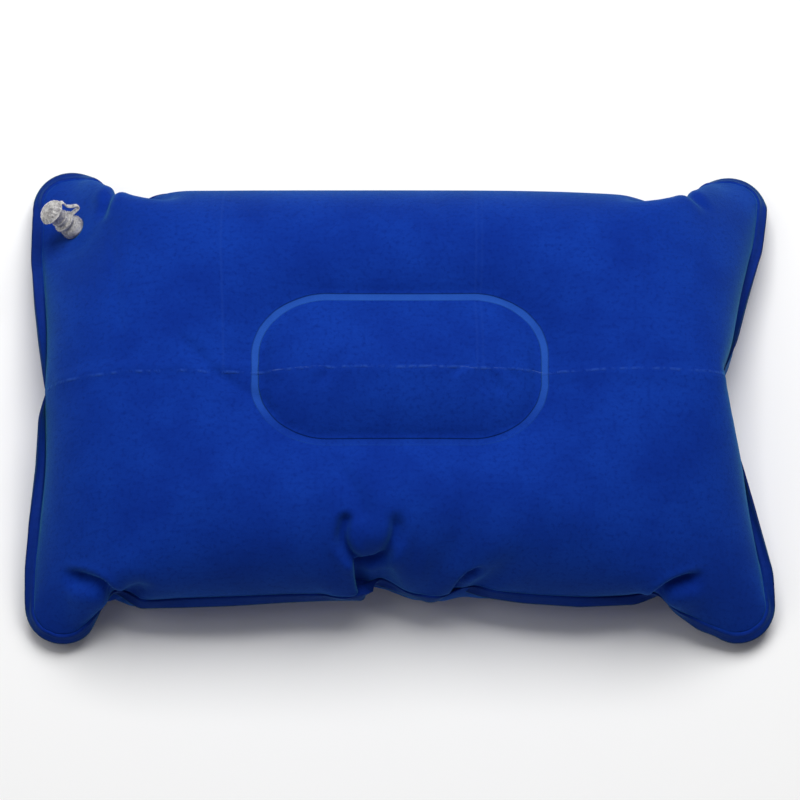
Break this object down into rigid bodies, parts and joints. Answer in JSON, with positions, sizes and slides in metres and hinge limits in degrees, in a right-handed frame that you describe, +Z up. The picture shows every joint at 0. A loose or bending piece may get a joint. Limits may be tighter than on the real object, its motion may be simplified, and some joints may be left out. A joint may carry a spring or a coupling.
{
  "type": "inflatable camp pillow",
  "caption": "Inflatable flocked camp pillow: two welded sheets with corner ears, an oval inner tie and a mouth valve in one corner.",
  "frame": {"origin": "on the ground under the middle of the pillow's outline, which lies on its back sheet", "axes": "+X along the pillow's length, +Y towards the long edge with the valve corner, +Z up out of the front sheet"},
  "size_m": [0.432, 0.2836, 0.088],
  "materials": {
    "flocked_front": "velvet flock on PVC, matt with a soft sheen",
    "flocked_back": "velvet flock on PVC, matt with a soft sheen",
    "sleeve_pvc": "plain PVC foil",
    "clear_pvc": "clear soft PVC, glossy"
  },
  "bodies": {
    "base": {"back_panel": "flocked_back", "tie_sleeve": "sleeve_pvc"},
    "top": {"front_panel": "flocked_front"},
    "valve_seat": {"valve_flange": "clear_pvc", "valve_skirt": "clear_pvc"},
    "stem": {"valve_stem": "clear_pvc", "valve_strap": "clear_pvc"},
    "plug": {"valve_plug": "clear_pvc"},
    "flap": {"valve_flap": "clear_pvc"}
  },
  "joints": [
    {"name": "press", "type": "slide", "parent": "base", "child": "top", "axis": [0, 0, -1], "range_m": [0, 0.025], "stiffness_N_per_m": 1500, "deforming": ["front_panel", "back_panel", "tie_sleeve"]},
    {"name": "valve_ride", "type": "slide", "parent": "base", "child": "valve_seat", "axis": [0, 0, -1], "range_m": [0, 0.012]},
    {"name": "stem_push", "type": "slide", "parent": "valve_seat", "child": "stem", "axis": [0.6186, -0.2395, -0.7483], "range_m": [0, 0.0075], "deforming": ["valve_skirt"]},
    {"name": "plug_open", "type": "hinge", "parent": "stem", "child": "plug", "pos_m": [-0.19576, 0.10998, 0.05543], "axis": [-0.3786, 0.7437, -0.551], "range_deg": [0, 150], "deforming": ["valve_strap"]},
    {"name": "flap_open", "type": "hinge", "parent": "stem", "child": "flap", "pos_m": [-0.19595, 0.09821, 0.03967], "axis": [-0.3786, 0.7437, -0.551], "range_deg": [0, 60], "stiffness_Nm_per_rad": 0.0005}
  ],
  "couplings": [
    {"joint": "valve_ride", "follows": "press", "ratio": 0.4318}
  ]
}
